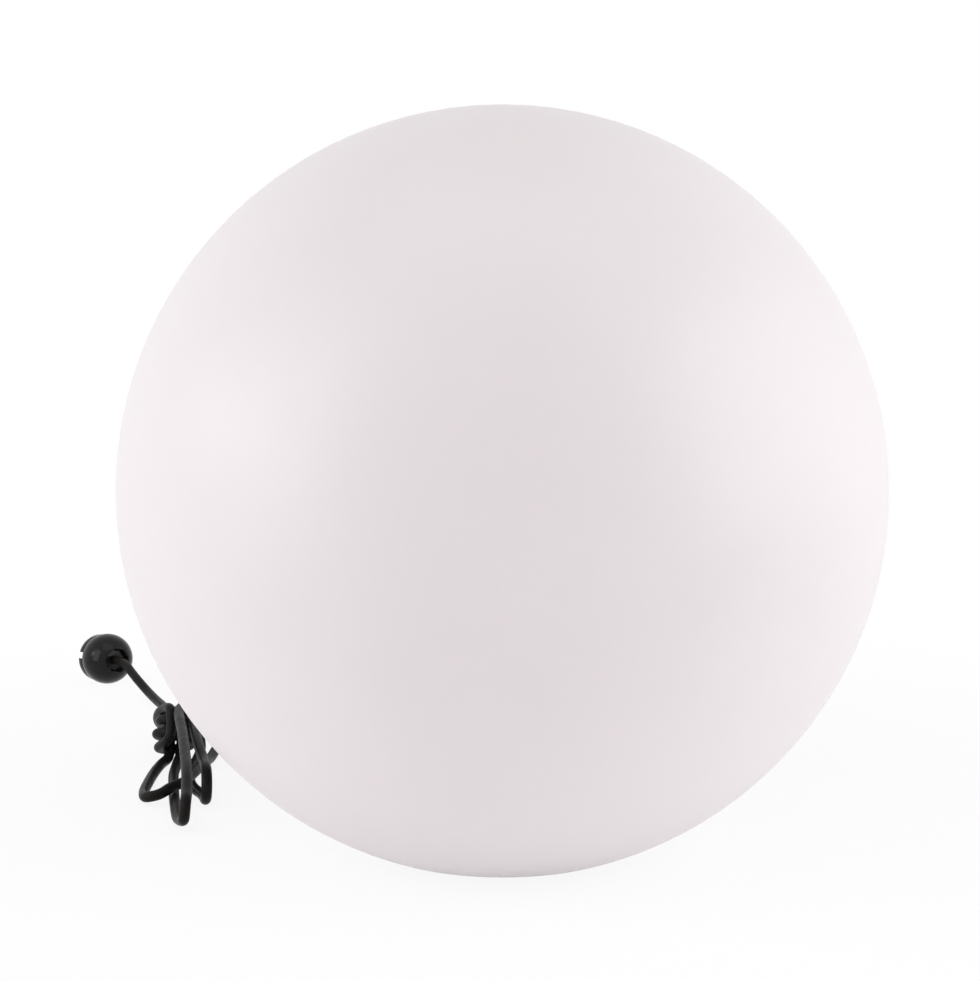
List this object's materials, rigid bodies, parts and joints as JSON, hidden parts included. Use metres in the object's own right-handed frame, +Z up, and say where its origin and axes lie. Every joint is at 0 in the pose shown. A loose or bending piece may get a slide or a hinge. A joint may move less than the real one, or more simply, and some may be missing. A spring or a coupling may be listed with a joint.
{
  "type": "garden globe light",
  "caption": "Frosted plastic globe light for the garden, with a screw-in lamp on a post inside, a recessed base and a rubber mains cord wound into a hank behind it.",
  "frame": {"origin": "on the floor under the middle of the globe, in the plane that the six pads stand on", "axes": "+Z up, the pictured front faces -Y, the cord leaves the base to +Y and lies to the left, -X"},
  "size_m": [0.5097, 0.6282, 0.3888],
  "materials": {
    "frosted_white": "satin, frosted, translucent off-white",
    "black_plastic": "fine grained",
    "black_rubber": "dull",
    "cord_rubber": "dull black, slightly waxy",
    "screw_steel": "zinc plated",
    "brass": "bare",
    "tin_solder": "smooth solder",
    "white_plastic": "satin",
    "opal_white": "opal, translucent",
    "white_ceramic": "unglazed",
    "black_insulator": "glassy",
    "cap_metal": "bright rolled",
    "board": "white coated",
    "natural_plastic": "natural, slightly translucent",
    "brown_insulation": "smooth",
    "blue_insulation": "smooth",
    "pin_metal": "nickel plated"
  },
  "bodies": {
    "base": {"base_housing": "black_plastic", "base_gasket": "black_rubber", "neck_seal": "black_rubber", "globe_screws": "screw_steel", "rubber_pads": "black_rubber", "bottom_cover": "black_plastic", "cover_gasket": "black_rubber", "cover_screws": "screw_steel", "holder_post": "white_plastic", "post_screws": "screw_steel", "holder_cap": "white_plastic", "holder_skirt": "white_plastic", "holder_core": "white_ceramic", "holder_shell": "brass", "centre_contact": "brass", "holder_terminals": "screw_steel", "terminal_block": "natural_plastic", "terminal_tubes": "brass", "terminal_screws": "screw_steel", "cord_end": "cord_rubber", "brown_conductor": "brown_insulation", "blue_conductor": "blue_insulation", "brown_holder_wire": "brown_insulation", "blue_holder_wire": "blue_insulation", "clamp_bar": "black_plastic", "clamp_screws": "screw_steel", "strain_relief": "black_rubber", "lamp_lead": "cord_rubber", "cord_hank": "cord_rubber", "plug_lead": "cord_rubber", "plug_body": "cord_rubber", "plug_face": "black_plastic", "plug_pins": "pin_metal"},
    "globe": {"globe_shell": "frosted_white", "globe_inserts": "brass"},
    "lamp_screw_cap": {"lamp_tip": "tin_solder", "lamp_insulator": "black_insulator", "lamp_cap": "cap_metal"},
    "lamp": {"lamp_body": "white_plastic", "led_board": "board", "lamp_dome": "opal_white"}
  },
  "joints": [
    {"name": "globe_lift", "type": "slide", "parent": "base", "child": "globe", "axis": [0, 0, 1], "range_m": [0, 0.21]},
    {"name": "lamp_rise", "type": "slide", "parent": "base", "child": "lamp_screw_cap", "axis": [0, 0, 1], "range_m": [0, 0.0218]},
    {"name": "lamp_turn", "type": "hinge", "parent": "lamp_screw_cap", "child": "lamp", "pos_m": [0, 0, 0.11], "axis": [0, 0, 1], "range_deg": [0, 2160]}
  ],
  "couplings": [
    {"joint": "lamp_rise", "follows": "lamp_turn", "m_per_rad": 0.00057774}
  ]
}
